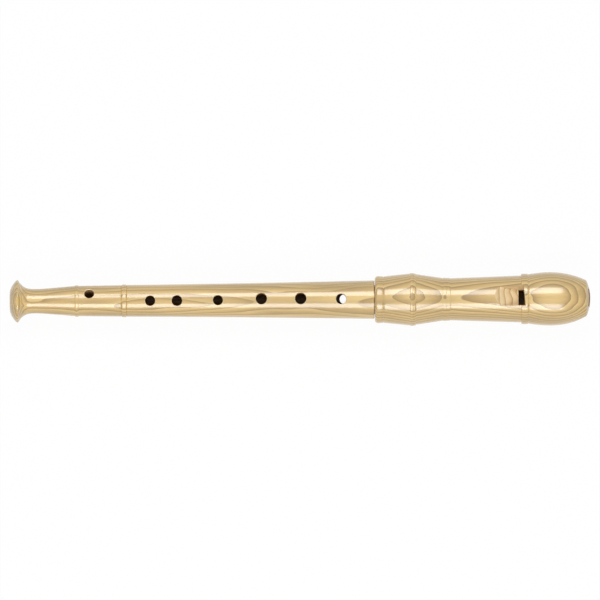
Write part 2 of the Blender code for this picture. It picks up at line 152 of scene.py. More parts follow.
def lathe_tree():
    """Geometry Nodes that turn a closed profile of (x, 0, radius) points about the bore's axis."""
    tree = bpy.data.node_groups.new("lathe", "GeometryNodeTree")
    face = tree.interface
    face.new_socket("Profile", in_out="INPUT", socket_type="NodeSocketGeometry")
    face.new_socket("Facets", in_out="INPUT", socket_type="NodeSocketInt")
    face.new_socket("Axis Height", in_out="INPUT", socket_type="NodeSocketFloat")
    face.new_socket("Finish", in_out="INPUT", socket_type="NodeSocketMaterial")
    face.new_socket("Turning", in_out="OUTPUT", socket_type="NodeSocketGeometry")
    given = add(tree, "NodeGroupInput").outputs
    count = add(tree, "GeometryNodeAttributeDomainSize", {"component": "MESH"}, {0: given["Profile"]})
    around = add(tree, "ShaderNodeMath", {"operation": "ADD"}, {0: given["Facets"], 1: 1.0})
    grid = add(
        tree,
        "GeometryNodeMeshGrid",
        inputs={"Vertices X": count.outputs["Point Count"], "Vertices Y": around.outputs[0]},
    )
    index = add(tree, "GeometryNodeInputIndex")
    middle = add(tree, "ShaderNodeMath", {"operation": "ADD"}, {0: index.outputs[0], 1: 0.5})
    share = add(tree, "ShaderNodeMath", {"operation": "DIVIDE"}, {0: middle.outputs[0], 1: around.outputs[0]})
    row = add(tree, "ShaderNodeMath", {"operation": "FLOOR"}, {0: share.outputs[0]})
    before = add(tree, "ShaderNodeMath", {"operation": "MULTIPLY"}, {0: row.outputs[0], 1: around.outputs[0]})
    column = add(
        tree, "ShaderNodeMath", {"operation": "SUBTRACT"}, {0: index.outputs[0], 1: before.outputs[0]}
    )
    turn = add(tree, "ShaderNodeMath", {"operation": "DIVIDE"}, {0: column.outputs[0], 1: given["Facets"]})
    angle = add(tree, "ShaderNodeMath", {"operation": "MULTIPLY"}, {0: turn.outputs[0], 1: 2 * math.pi})
    position = add(tree, "GeometryNodeInputPosition")
    point = add(
        tree,
        "GeometryNodeSampleIndex",
        {"data_type": "FLOAT_VECTOR", "domain": "POINT"},
        {"Geometry": given["Profile"], "Value": position.outputs[0], "Index": row.outputs[0]},
    )
    parts = add(tree, "ShaderNodeSeparateXYZ", inputs={0: point.outputs["Value"]}).outputs
    sine = add(tree, "ShaderNodeMath", {"operation": "SINE"}, {0: angle.outputs[0]})
    cosine = add(tree, "ShaderNodeMath", {"operation": "COSINE"}, {0: angle.outputs[0]})
    side = add(tree, "ShaderNodeMath", {"operation": "MULTIPLY"}, {0: parts["Z"], 1: sine.outputs[0]})
    rise = add(tree, "ShaderNodeMath", {"operation": "MULTIPLY"}, {0: parts["Z"], 1: cosine.outputs[0]})
    height = add(tree, "ShaderNodeMath", {"operation": "ADD"}, {0: rise.outputs[0], 1: given["Axis Height"]})
    place = add(
        tree, "ShaderNodeCombineXYZ", inputs={"X": parts["X"], "Y": side.outputs[0], "Z": height.outputs[0]}
    )
    turned = add(
        tree,
        "GeometryNodeSetPosition",
        inputs={"Geometry": grid.outputs["Mesh"], "Position": place.outputs[0]},
    )
    closed = add(
        tree, "GeometryNodeMergeByDistance", inputs={"Geometry": turned.outputs[0], "Distance": SEAM}
    )
    real = add(tree, "GeometryNodeRealizeInstances", inputs={0: closed.outputs[0]})
    finished = add(
        tree, "GeometryNodeSetMaterial", inputs={"Geometry": real.outputs[0], "Material": given["Finish"]}
    )
    add(tree, "NodeGroupOutput", inputs={0: finished.outputs[0]})
    return tree


LATHE = lathe_tree()


def link_mesh(name, mesh):
    """An object at the origin that holds this mesh."""
    obj = bpy.data.objects.new(name, mesh)
    bpy.context.scene.collection.objects.link(obj)
    return obj


def baked(obj):
    """Swap an object's modifiers for the mesh that they give."""
    depsgraph = bpy.context.evaluated_depsgraph_get()
    depsgraph.update()
    mesh = bpy.data.meshes.new_from_object(obj.evaluated_get(depsgraph))
    obj.modifiers.clear()
    obj.data = mesh
    return obj


def turn_piece(name, profile, finish):
    """Turn a closed profile of (x, radius) points in the lathe tree and keep the mesh."""
    blank = bpy.data.meshes.new(name)
    closed = [*profile, profile[0]]
    blank.from_pydata([(x, 0.0, radius) for x, radius in closed], [], [])
    obj = link_mesh(name, blank)
    modifier = obj.modifiers.new("lathe", "NODES")
    modifier.node_group = LATHE
    for item in LATHE.interface.items_tree:
        value = {"Facets": TURNED_FACETS, "Axis Height": AXIS_HEIGHT, "Finish": finish}.get(item.name)
        if value is not None:
            modifier[item.identifier] = value
    return baked(obj)


def outward(obj):
    """Point a closed mesh's faces outwards and shade it smooth up to its creases."""
    bm = bmesh.new()
    bm.from_mesh(obj.data)
    bmesh.ops.recalc_face_normals(bm, faces=bm.faces)
    bm.to_mesh(obj.data)
    bm.free()
    obj.data.shade_smooth()
    obj.data.set_sharp_from_angle(angle=CREASE)


def cutter(name, sections, finish):
    """A closed solid through sections of as many (x, y, z) points, which leaves its finish on a cut."""
    bm = bmesh.new()
    loops = [[bm.verts.new(point) for point in section] for section in sections]
    for loop, following in zip(loops, loops[1:]):
        for i in range(len(loop)):
            j = (i + 1) % len(loop)
            bm.faces.new((loop[i], loop[j], following[j], following[i]))
    bm.faces.new(loops[0])
    bm.faces.new(loops[-1])
    mesh = bpy.data.meshes.new(name)
    bm.to_mesh(mesh)
    bm.free()
    mesh.materials.append(finish)
    obj = link_mesh(name, mesh)
    outward(obj)
    return obj


def cut(obj, tools):
    """Cut the tools out of an object, then throw them away."""
    for tool in tools:
        modifier = obj.modifiers.new(tool.name, "BOOLEAN")
        modifier.operation = "DIFFERENCE"
        modifier.solver = "EXACT"
        modifier.material_mode = "TRANSFER"
        modifier.object = tool
    baked(obj)
    for tool in tools:
        bpy.data.objects.remove(tool)


# The wood's figure in mm, as (length along the grain, width across it). Fibres and flecks are a
# little coarser than real ones, so that they show.
WANDER = (90.0, 16.0)
FIBRE = (20.0, 0.35)
BROWN_BAND = (60.0, 5.0)
FLECK = (3.0, 0.4)
RIPPLE = (8.0, 2.2)

# Good and poor years come and go over about four layers, and shift a layer by this many years
SEASON_RATE = 0.27
SEASON_SHIFT = 1.3

# Where each colour lies in a year's layer, from its dark edge outwards
LAYER_STOPS = (0.0, 0.12, 0.36, 0.68, 0.96, 1.0)
BAND_COLOUR = "#A08245"
GRAIN_DEPTH = 0.03 * MM
RIPPLE_DEPTH = 0.03 * MM


def figure(tree, in_mm, size, detail):
    """Soft blobs of this (length, width) along the grain, from 0 to 1."""
    length, width = size
    scale = (1 / length, 1 / width, 1 / width)
    drawn = add(tree, "ShaderNodeMapping", inputs={0: in_mm, "Scale": scale}).outputs[0]
    blobs = add(tree, "ShaderNodeTexNoise", inputs={"Vector": drawn, "Scale": 1.0, "Detail": detail})
    return blobs.outputs[0]


def year_layers(tree, in_mm, cut_from):
    """Place in a year's layer, 0 to 1: rings round the tree's middle that wander along the grain."""
    middle = (0.0, -cut_from["middle"][0], -cut_from["middle"][1] - AXIS_HEIGHT / MM)
    lean = (0.0, cut_from["lean"], cut_from["lean"])
    moved = add(
        tree, "ShaderNodeMapping", inputs={0: in_mm, "Location": middle, "Rotation": lean}
    ).outputs[0]
    flat = add(
        tree, "ShaderNodeVectorMath", {"operation": "MULTIPLY"}, {0: moved, 1: (0.0, 1.0, 1.0)}
    ).outputs[0]
    away = add(tree, "ShaderNodeVectorMath", {"operation": "LENGTH"}, {0: flat}).outputs["Value"]
    wander = add(
        tree,
        "ShaderNodeMath",
        {"operation": "MULTIPLY"},
        {0: figure(tree, in_mm, WANDER, 2.5), 1: cut_from["wander"]},
    ).outputs[0]
    grown = add(tree, "ShaderNodeMath", {"operation": "ADD"}, {0: away, 1: wander}).outputs[0]
    years = add(
        tree, "ShaderNodeMath", {"operation": "DIVIDE"}, {0: grown, 1: cut_from["layer"]}
    ).outputs[0]
    season = add(
        tree,
        "ShaderNodeTexNoise",
        {"noise_dimensions": "1D"},
        {"W": years, "Scale": SEASON_RATE, "Detail": 1.0},
    ).outputs[0]
    uneven = add(
        tree, "ShaderNodeMath", {"operation": "MULTIPLY_ADD"}, {0: season, 1: SEASON_SHIFT, 2: years}
    ).outputs[0]
    return add(tree, "ShaderNodeMath", {"operation": "FRACT"}, {0: uneven}).outputs[0]


def wood(name, cut_from, colours, browning, glossy):
    """Straw-coloured hardwood with year layers, fibres, brown bands and flecks, lacquered or raw."""
    material = bpy.data.materials.new(name)
    material.use_nodes = True
    tree = material.node_tree
    shader = tree.nodes["Principled BSDF"]
    at = add(tree, "ShaderNodeTexCoord").outputs["Object"]
    in_mm = add(tree, "ShaderNodeVectorMath", {"operation": "SCALE"}, {0: at, "Scale": 1 / MM}).outputs[0]

    layers = add(tree, "ShaderNodeValToRGB", inputs={0: year_layers(tree, in_mm, cut_from)})
    set_stops(layers, list(zip(LAYER_STOPS, colours)))
    band = figure(tree, in_mm, BROWN_BAND, 2.0)
    brown = add(
        tree,
        "ShaderNodeMapRange",
        inputs={"Value": band, "From Min": 0.42, "From Max": 0.75, "To Min": 0.0, "To Max": browning},
    ).outputs[0]
    # A Mix node set to colours takes them at its sockets 6 and 7, and gives the mix at its output 2
    toned = add(
        tree,
        "ShaderNodeMix",
        {"data_type": "RGBA"},
        {"Factor": brown, 6: layers.outputs[0], 7: linear(BAND_COLOUR)},
    ).outputs[2]

    fibre = figure(tree, in_mm, FIBRE, 3.0)
    streak = add(
        tree,
        "ShaderNodeMapRange",
        inputs={"Value": fibre, "From Min": 0.3, "From Max": 0.7, "To Min": 0.93, "To Max": 1.05},
    ).outputs[0]
    pore = figure(tree, in_mm, FLECK, 1.0)
    fleck = add(
        tree,
        "ShaderNodeMapRange",
        inputs={"Value": pore, "From Min": 0.68, "From Max": 0.8, "To Min": 1.0, "To Max": 0.78},
    ).outputs[0]
    shade = add(tree, "ShaderNodeMath", {"operation": "MULTIPLY"}, {0: streak, 1: fleck}).outputs[0]
    colour = add(tree, "ShaderNodeVectorMath", {"operation": "SCALE"}, {0: toned, "Scale": shade})
    tree.links.new(colour.outputs[0], shader.inputs["Base Color"])

    roughness = add(
        tree,
        "ShaderNodeMapRange",
        inputs={"Value": fibre, "From Min": 0.3, "From Max": 0.7, "To Min": 0.42, "To Max": 0.56},
    )
    tree.links.new(roughness.outputs[0], shader.inputs["Roughness"])
    relief = 0.25 if glossy else 0.6
    grain = add(
        tree, "ShaderNodeBump", inputs={"Strength": relief, "Distance": GRAIN_DEPTH, "Height": fibre}
    )
    tree.links.new(grain.outputs[0], shader.inputs["Normal"])
    if glossy:
        # The lacquer lies in a skin of its own, whose ripples waver the edges of reflections
        shader.inputs["Coat Weight"].default_value = 1.0
        shader.inputs["Coat Roughness"].default_value = 0.16
        shader.inputs["Coat IOR"].default_value = 1.8
        skin = figure(tree, in_mm, RIPPLE, 1.0)
        ripple = add(
            tree, "ShaderNodeBump", inputs={"Strength": 0.5, "Distance": RIPPLE_DEPTH, "Height": skin}
        )
        tree.links.new(ripple.outputs[0], shader.inputs["Coat Normal"])
    return material


# How the body was cut from its tree, in mm: the tree's middle as (y, z) from the bore's axis, a year's
# layer, and how far the layers wander; their lean is in radians
BODY_CUT = {"middle": (14.0, -70.0), "layer": 2.1, "wander": 13.0, "lean": 0.012}
BODY_LAYERS = ("#9A7A3C", "#B08E4A", "#C8A55E", "#D6B46C", "#DCBC74", "#9A7A3C")
# Paler layers: the raw ramp's own colour, and on the holes' rims a painted highlight
RAW_AND_RIM_HIGHLIGHT_LAYERS = ("#B28E5C", "#D2B180", "#E2C799", "#E8D0A4", "#EAD3A8", "#B28E5C")
BORE_LAYERS = ("#7A5C3B", "#8A6945", "#9B7A52", "#A48258", "#A8865C", "#7A5C3B")

# Clear gloss lacquer over turned maple: warm and deep, with sharp long reflections
body_lacquer = wood("lacquered maple body", BODY_CUT, BODY_LAYERS, browning=0.75, glossy=True)

# The bore and the holes' walls, darkened by oil: matt brown
bore_wood = wood("oiled bore", BODY_CUT, BORE_LAYERS, browning=0.2, glossy=False)

# The holes' rims, sanded round and lacquered, painted paler: a painted highlight for the pale halo that light
# gives the rounded rims
rim_highlight_wood = wood("rounded rim with painted highlight", BODY_CUT, RAW_AND_RIM_HIGHLIGHT_LAYERS, browning=0.1, glossy=True)


def taper(start, end, bend=1.0, steps=1):
    """Profile points after start, up to end; a bend over 1 keeps close to the start's radius first."""
    (x0, r0), (x1, r1) = start, end
    shares = [i / steps for i in range(1, steps + 1)]
    return [(x0 + (x1 - x0) * t, r0 + (r1 - r0) * t**bend) for t in shares]


def bead(start, end, height, steps=14):
    """Profile points after start, up to end, over a half-round bead on the line between them."""
    (x0, r0), (x1, r1) = start, end
    points = []
    for i in range(1, steps + 1):
        angle = math.pi * i / steps
        share = (1 - math.cos(angle)) / 2
        points.append((x0 + (x1 - x0) * share, r0 + (r1 - r0) * share + height * math.sin(angle)))
    return points


def groove(start, end, depth):
    """Profile points after start, up to end, through a V cut between them."""
    (x0, r0), (x1, r1) = start, end
    return [((x0 + x1) / 2, (r0 + r1) / 2 - depth), end]


def body_profile():
    """The body's closed profile, from the foot's flat ring along the outside and back down the bore."""
    points = [(0.0, FOOT_RING_RADIUS)]
    for i in range(1, DOME_STEPS + 1):
        inward = 1 - i / DOME_STEPS
        rise = (1 - inward**DOME_POWER) ** (1 / DOME_POWER)
        radius = FOOT_RING_RADIUS + (FOOT_RIM_RADIUS - FOOT_RING_RADIUS) * rise
        points.append((FOOT_DOME_LENGTH * (1 - inward), radius))
    points.append((FOOT_DOME_LENGTH + FOOT_RIM_WIDTH, FOOT_RIM_RADIUS))
    waist = (points[-1][0] + COVE_LENGTH, WAIST_RADIUS)
    points += reversed(taper(waist, points[-1], COVE_BEND, COVE_STEPS)[:-1])
    points.append(waist)
    swell = (waist[0] + FOOT_SWELL_LENGTH, FOOT_SWELL_RADIUS)
    points += taper(waist, swell, SWELL_BEND, FOOT_SWELL_STEPS)
    points += bead(swell, (swell[0] + FOOT_BEAD_WIDTH, FOOT_SWELL_RADIUS), FOOT_BEAD_HEIGHT)
    shank = (points[-1][0] + SHANK_LENGTH, SHANK_RADIUS)
    points += taper(points[-1], shank, steps=SHANK_STEPS)
    bead_start = (shank[0] + GROOVE_WIDTH, SHANK_RADIUS)
    points += groove(shank, bead_start, GROOVE_DEPTH)
    bead_end = (bead_start[0] + BODY_BEAD_WIDTH, SHANK_RADIUS + GROOVE_DEPTH / 2)
    points += bead(bead_start, bead_end, BODY_BEAD_HEIGHT)
    long_start = (bead_end[0] + GROOVE_WIDTH, bead_end[1])
    points += groove(bead_end, long_start, GROOVE_DEPTH)
    long_end = (BODY_LENGTH - SHOULDER_CHAMFER, SHOULDER_RADIUS)
    points += taper(long_start, long_end, BODY_BEND, LONG_STEPS)
    points.append((BODY_LENGTH, SHOULDER_RADIUS - SHOULDER_CHAMFER))
    points.append((BODY_LENGTH, TENON_RADIUS))
    groove_start = BODY_LENGTH + CORK_GROOVE_SETBACK
    groove_end = groove_start + CORK_GROOVE_WIDTH
    points.append((groove_start, TENON_RADIUS))
    points.append((groove_start, CORK_GROOVE_RADIUS))
    points.append((groove_end, CORK_GROOVE_RADIUS))
    points.append((groove_end, TENON_RADIUS))
    tenon_end = BODY_LENGTH + TENON_LENGTH
    points.append((tenon_end - TENON_CHAMFER, TENON_RADIUS))
    points.append((tenon_end, TENON_RADIUS - TENON_CHAMFER))
    points.append((tenon_end, BORE_TOP_RADIUS))
    choke = (BORE_CHOKE_PLACE, BORE_CHOKE_RADIUS)
    points += taper(points[-1], choke, steps=BORE_STEPS)
    points += taper(choke, (BORE_LIP_ROUND, BORE_FLARE_RADIUS), steps=FLARE_STEPS)
    points.append((0.0, BORE_FLARE_RADIUS + BORE_LIP_ROUND))
    return [(BODY_START + x, radius) for x, radius in points]


def outer_radius(profile, x):
    """The outside radius of a turned profile at this place."""
    for (x0, r0), (x1, r1) in zip(profile, profile[1:]):
        if x0 <= x <= x1 and x1 > x0:
            return r0 + (r1 - r0) * (x - x0) / (x1 - x0)
    raise ValueError("this place is off the profile")


def hole_drill(name, profile, place, diameter, turn):
    """A drill from the bore out through one wall, flared so that it rounds the tone hole's rim."""
    out = Vector((0.0, math.sin(turn), math.cos(turn)))
    along = Vector((1.0, 0.0, 0.0))
    side = out.cross(along)
    centre = Vector((BODY_START + place, 0.0, AXIS_HEIGHT))
    sections = []
    for step in range(-1, RIM_STEPS + 2):
        share = min(max(step, 0), RIM_STEPS) / RIM_STEPS
        radius = diameter / 2 + RIM_ROUND * (1 - math.cos(RIM_END * share))
        section = []
        for i in range(DRILL_FACETS):
            angle = 2 * math.pi * i / DRILL_FACETS
            u = radius * math.cos(angle)
            v = radius * math.sin(angle)
            surface = math.sqrt(outer_radius(profile, centre.x + u) ** 2 - v * v)
            height = surface - RIM_ROUND + RIM_ROUND * math.sin(RIM_END * share) / math.sin(RIM_END)
            if step < 0:
                height = DRILL_START
            if step > RIM_STEPS:
                height = surface + DRILL_CLEARANCE
            section.append(centre + along * u + side * v + out * height)
        sections.append(section)
    # The cut takes the rims' paler finish, which is a painted highlight
    return cutter(name, sections, rim_highlight_wood)


profile = body_profile()
body = turn_piece("recorder_body", profile, body_lacquer)
drills = []
for number, (place, diameter, turn) in enumerate(TONE_HOLES):
    drills.append(hole_drill(f"drill_{number}", profile, place * MM, diameter * MM, math.radians(turn)))
cut(body, drills)


def finish_inside(obj, finish, inside):
    """Give the faces that inside(x, radius) picks, by their middles, another finish."""
    obj.data.materials.append(finish)
    slot_number = len(obj.data.materials) - 1
    for polygon in obj.data.polygons:
        radius = math.hypot(polygon.center.y, polygon.center.z - AXIS_HEIGHT)
        if inside(polygon.center.x, radius):
            polygon.material_index = slot_number


# The holes' walls are oiled up to a line that climbs with the body's taper
OILED_HEIGHT_AT_FOOT = 7.6 * MM
OILED_HEIGHT_GAIN = 2.1 * MM
LOWEST_WALL = 40.0 * MM
HIGHEST_WALL = 195.0 * MM
FACE_MARGIN = 0.1 * MM


def in_body_bore(x, radius):
    """The bore, and the walls of the holes below their rounded rims."""
    place = x - BODY_START
    if radius < BORE_TOP_RADIUS + FACE_MARGIN:
        return place > 2 * FACE_MARGIN
    oiled_height = OILED_HEIGHT_AT_FOOT + OILED_HEIGHT_GAIN * place / BODY_LENGTH
    return LOWEST_WALL < place < HIGHEST_WALL and radius < oiled_height


finish_inside(body, bore_wood, in_body_bore)
outward(body)
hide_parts("body_joint")
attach(body, "body")

# Cork lapping
# A strip of natural cork glued round the tenon and sanded round, which seals the two joints.
# It is greased, so it has a dull sheen, and its grains and pores show as dark specks.
cork_low, cork_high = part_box("tenon_cork")
CORK_RADIUS = 8.4 * MM
CORK_INNER_RADIUS = 7.7 * MM
CORK_ROUND = 0.15 * MM
CORK_GRAIN = 0.7
CORK_PORE = 1.1
CORK_PIT_DEPTH = 0.1 * MM


def cork_material():
    """Natural cork: small grains with darker edges, and a few brown pores."""
    material = bpy.data.materials.new("greased natural cork")
    material.use_nodes = True
    tree = material.node_tree
    shader = tree.nodes["Principled BSDF"]
    at = add(tree, "ShaderNodeTexCoord").outputs["Object"]
    in_mm = add(tree, "ShaderNodeVectorMath", {"operation": "SCALE"}, {0: at, "Scale": 1 / MM}).outputs[0]
    grains = add(tree, "ShaderNodeTexVoronoi", inputs={"Vector": in_mm, "Scale": 1 / CORK_GRAIN})
    tint = add(tree, "ShaderNodeValToRGB", inputs={0: grains.outputs["Distance"]})
    set_stops(tint, ((0.0, "#C79A68"), (0.55, "#B58554"), (0.9, "#7A5430")))
    pores = figure(tree, in_mm, (CORK_PORE, CORK_PORE), 3.0)
    dark = add(
        tree,
        "ShaderNodeMapRange",
        inputs={"Value": pores, "From Min": 0.6, "From Max": 0.72, "To Min": 1.0, "To Max": 0.55},
    ).outputs[0]
    final = add(
        tree, "ShaderNodeVectorMath", {"operation": "SCALE"}, {0: tint.outputs[0], "Scale": dark}
    ).outputs[0]
    tree.links.new(final, shader.inputs["Base Color"])
    pits = add(
        tree, "ShaderNodeBump", inputs={"Strength": 0.6, "Distance": CORK_PIT_DEPTH, "Height": dark}
    ).outputs[0]
    tree.links.new(pits, shader.inputs["Normal"])
    shader.inputs["Roughness"].default_value = 0.6
    return material


cork_profile = [
    (cork_low.x, CORK_INNER_RADIUS),
    (cork_low.x, CORK_RADIUS - CORK_ROUND),
    (cork_low.x + CORK_ROUND, CORK_RADIUS),
    (cork_high.x - CORK_ROUND, CORK_RADIUS),
    (cork_high.x, CORK_RADIUS - CORK_ROUND),
    (cork_high.x, CORK_INNER_RADIUS),
]
cork = turn_piece("cork_lapping", cork_profile, cork_material())
outward(cork)
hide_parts("tenon_cork")
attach(cork, "lapping")

# Head
# One turning: the socket's bulge, the barrel, and the beak, whose underside is cut away for the lip.
# The window and the labium's ramp are cut by hand and left raw, so they are matt and paler.
# The windway over the block is a flat arched slot through the beak.
HEAD_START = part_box("head_joint")[0].x
SOCKET_RADIUS = 8.7 * MM
SOCKET_DEPTH = 20.2 * MM
SOCKET_WALL_AT_MOUTH = 2.9 * MM
SOCKET_MOUTH_CHAMFER = 0.4 * MM
SOCKET_BEAD_WIDTH = 4.6 * MM
SOCKET_BEAD_RADIUS = 13.2 * MM
SOCKET_BEAD_ROUND = 1.8 * MM
SOCKET_GROOVE_RADIUS = 12.9 * MM
SOCKET_GROOVE_WIDTH = 0.6 * MM
BULGE_LENGTH = 14.5 * MM
BULGE_RADIUS = 14.55 * MM
DOUBLE_BEAD_WIDTH = 1.7 * MM
DOUBLE_BEAD_HEIGHT = 0.24 * MM
NECK_STEP_LENGTH = 1.8 * MM
NECK_STEP_RADIUS = 13.95 * MM
NECK_LENGTH = 13.1 * MM
NECK_RADIUS = 11.95 * MM
NECK_BEAD_WIDTH = 2.2 * MM
NECK_BEAD_HEIGHT = 0.12 * MM
BARREL_STEP = 0.18 * MM
BARREL_LENGTH = 39.6 * MM
BARREL_RADIUS = 13.13 * MM
WINDOW_BEAD_WIDTH = 3.6 * MM
WINDOW_BEAD_RISE = 0.82 * MM
WINDOW_BEAD_HEIGHT = 0.22 * MM
WINDOW_GROOVE_WIDTH = 0.8 * MM
BEAK_SWELL_LENGTH = 11.7 * MM
BEAK_RADIUS = 14.97 * MM
BEAK_FALL_LENGTH = 20.2 * MM
BEAK_FALL_RADIUS = 47.0 * MM
BEAK_END_RADIUS = 9.6 * MM
END_DOME_RADIUS = 25.0 * MM
BEAK_END_LENGTH = 2.4 * MM
HEAD_BORE_RADIUS = 6.5 * MM
WINDOW_WIDTH = 8.4 * MM
WINDOW_LENGTH = 3.4 * MM
WINDOW_REACH = 1.7 * MM
WINDOW_FLARE = 0.26
WINDOW_SLANT = 0.10
RAMP_LENGTH = 13.1 * MM
RAMP_ROLL = math.radians(-4.0)
LIP_HEIGHT = 7.0 * MM
LIP_THICKNESS = 0.45 * MM
SLOT_OVERLAP = 1.0 * MM
UNDERCUT_LENGTH = 9.0 * MM
WINDWAY_FLOOR = 6.1 * MM
WINDWAY_EXIT_HEIGHT = 1.0 * MM
WINDWAY_ENTRY_HEIGHT = 1.4 * MM
WINDWAY_ENTRY_WIDTH = 10.0 * MM
WINDWAY_ARCH = 16.0 * MM
WINDWAY_CHAMFER = 0.5 * MM
ARCH_STEPS = 24
LIP_CUT_RADIUS = 40.0 * MM
LIP_CUT_TIP_HEIGHT = 3.0 * MM
LIP_CUT_TIP_SLOPE = math.radians(8.0)
LIP_CUT_SWEEP = math.radians(80.0)
LIP_CUT_STEPS = 60
LIP_CUT_REACH = 22.5 * MM
BARREL_END = 82.0 * MM
BEAK_START = BARREL_END + WINDOW_BEAD_WIDTH + WINDOW_GROOVE_WIDTH
BEAK_WIDEST = BEAK_START + BEAK_SWELL_LENGTH
HEAD_LENGTH = BEAK_WIDEST + BEAK_FALL_LENGTH + BEAK_END_LENGTH
WINDOW_END = BARREL_END + WINDOW_REACH
LIP_PLACE = WINDOW_END - WINDOW_LENGTH
BLOCK_LENGTH = HEAD_LENGTH - WINDOW_END
SEAT_GAP = 0.3 * MM

# How finely each stretch of the head's profile is stepped
MOUTH_STEPS = 10
CONE_STEPS = 14
BARREL_STEPS = 40
BEAK_SWELL_STEPS = 16
BEAK_FALL_STEPS = 28
BEAK_END_STEPS = 8
HEAD_BORE_STEPS = 30

HEAD_CUT = {"middle": (-6.0, -95.0), "layer": 1.45, "wander": 4.6, "lean": -0.02}
HEAD_LAYERS = ("#8C6C30", "#A68440", "#C29F58", "#D4B26A", "#DEBE76", "#8C6C30")

# The head is from another billet, cut further from its tree's middle, with thinner layers
head_lacquer = wood("lacquered maple head", HEAD_CUT, HEAD_LAYERS, browning=0.5, glossy=True)

# The ramp, windway and window are knife-cut and left raw: matt and paler
ramp_wood = wood("raw maple ramp", HEAD_CUT, RAW_AND_RIM_HIGHLIGHT_LAYERS, browning=0.1, glossy=False)
head_bore_wood = wood("oiled head bore", HEAD_CUT, BORE_LAYERS, browning=0.2, glossy=False)


def end_dome(radius):
    """How far the beak's domed end falls short of its tip at this radius."""
    return END_DOME_RADIUS - math.sqrt(END_DOME_RADIUS**2 - radius**2)


def head_profile():
    """The head's closed profile, from the socket mouth along the outside to the tip and back."""
    mouth_outside = SOCKET_RADIUS + SOCKET_WALL_AT_MOUTH
    points = [(0.0, mouth_outside)]
    for i in range(1, MOUTH_STEPS + 1):
        angle = math.pi / 2 * i / MOUTH_STEPS
        x = SOCKET_BEAD_ROUND * (1 - math.cos(angle))
        points.append((x, mouth_outside + (SOCKET_BEAD_RADIUS - mouth_outside) * math.sin(angle)))
    groove_start = (SOCKET_BEAD_WIDTH, (SOCKET_BEAD_RADIUS + SOCKET_GROOVE_RADIUS) / 2)
    cone_start = (SOCKET_BEAD_WIDTH + SOCKET_GROOVE_WIDTH, groove_start[1])
    points.append(groove_start)
    points += groove(groove_start, cone_start, groove_start[1] - SOCKET_GROOVE_RADIUS)
    first = (cone_start[0] + BULGE_LENGTH, BULGE_RADIUS)
    second = (first[0] + DOUBLE_BEAD_WIDTH, BULGE_RADIUS + GROOVE_DEPTH / 2)
    third = (second[0] + DOUBLE_BEAD_WIDTH, NECK_STEP_RADIUS + GROOVE_DEPTH)
    points += taper(cone_start, first, steps=CONE_STEPS)
    points += bead(first, second, DOUBLE_BEAD_HEIGHT)
    points += bead(second, third, DOUBLE_BEAD_HEIGHT)
    step_end = (third[0] + NECK_STEP_LENGTH, NECK_STEP_RADIUS)
    neck = (step_end[0] + NECK_LENGTH, NECK_RADIUS)
    points.append(step_end)
    points += taper(step_end, neck, steps=CONE_STEPS)
    for i in range(2):
        start = points[-1]
        end = (start[0] + NECK_BEAD_WIDTH, NECK_RADIUS - GROOVE_DEPTH * i)
        points += bead(start, end, NECK_BEAD_HEIGHT)
    points += taper(points[-1], (BARREL_END - BARREL_STEP, BARREL_RADIUS), steps=BARREL_STEPS)
    top = BARREL_RADIUS + WINDOW_BEAD_RISE
    window_bead = (BARREL_END, top)
    bead_end = (BARREL_END + WINDOW_BEAD_WIDTH, top)
    points.append(window_bead)
    points += bead(window_bead, bead_end, WINDOW_BEAD_HEIGHT)
    points += groove(bead_end, (BEAK_START, top), GROOVE_DEPTH)
    for i in range(1, BEAK_SWELL_STEPS + 1):
        share = i / BEAK_SWELL_STEPS
        radius = top + (BEAK_RADIUS - top) * math.sin(math.pi / 2 * share)
        points.append((BEAK_START + BEAK_SWELL_LENGTH * share, radius))
    for i in range(1, BEAK_FALL_STEPS + 1):
        x = BEAK_FALL_LENGTH * i / BEAK_FALL_STEPS
        fall = BEAK_FALL_RADIUS - math.sqrt(BEAK_FALL_RADIUS**2 - x**2)
        points.append((BEAK_WIDEST + x, BEAK_RADIUS - fall))
    for i in range(BEAK_END_STEPS + 1):
        radius = BEAK_END_RADIUS + (HEAD_BORE_RADIUS - BEAK_END_RADIUS) * i / BEAK_END_STEPS
        points.append((HEAD_LENGTH - end_dome(radius), radius))
    points += taper(points[-1], (SOCKET_DEPTH, HEAD_BORE_RADIUS), steps=HEAD_BORE_STEPS)
    points.append((SOCKET_DEPTH, SOCKET_RADIUS))
    points.append((SOCKET_MOUTH_CHAMFER, SOCKET_RADIUS))
    points.append((0.0, SOCKET_RADIUS + SOCKET_MOUTH_CHAMFER))
    return [(HEAD_START + x, radius) for x, radius in points]


def on_head(x, y, z, roll=0.0):
    """A place measured along the head and up from the axis, rolled about the lip's line."""
    if x >= WINDOW_END:
        x -= WINDOW_SLANT * y
    lean = z - LIP_HEIGHT
    rolled_y = y * math.cos(roll) - lean * math.sin(roll)
    rolled_z = y * math.sin(roll) + lean * math.cos(roll) + LIP_HEIGHT
    return (HEAD_START + x, rolled_y, AXIS_HEIGHT + rolled_z)


def across(name, outline, half_width, finish, roll=0.0):
    """A cutter across the bore: an outline of (x, z) points, with its half width a function of z."""
    near = [on_head(x, -half_width(z), z, roll) for x, z in outline]
    far = [on_head(x, half_width(z), z, roll) for x, z in outline]
    return cutter(name, [near, far], finish)


def arch(half_width, crest):
    """(y, z) points of a shallow arch from -y to +y, with its crest at this height."""
    points = []
    for i in range(ARCH_STEPS + 1):
        y = half_width * (2 * i / ARCH_STEPS - 1)
        points.append((y, crest - WINDWAY_ARCH + math.sqrt(WINDWAY_ARCH**2 - y**2)))
    return points


def windway_share(x):
    """0 at the windway's exit and 1 at the beak's tip."""
    return (x - WINDOW_END) / BLOCK_LENGTH


def windway_half_width(x):
    """Half the windway's width at a place along the head."""
    return (WINDOW_WIDTH + (WINDWAY_ENTRY_WIDTH - WINDOW_WIDTH) * windway_share(x)) / 2


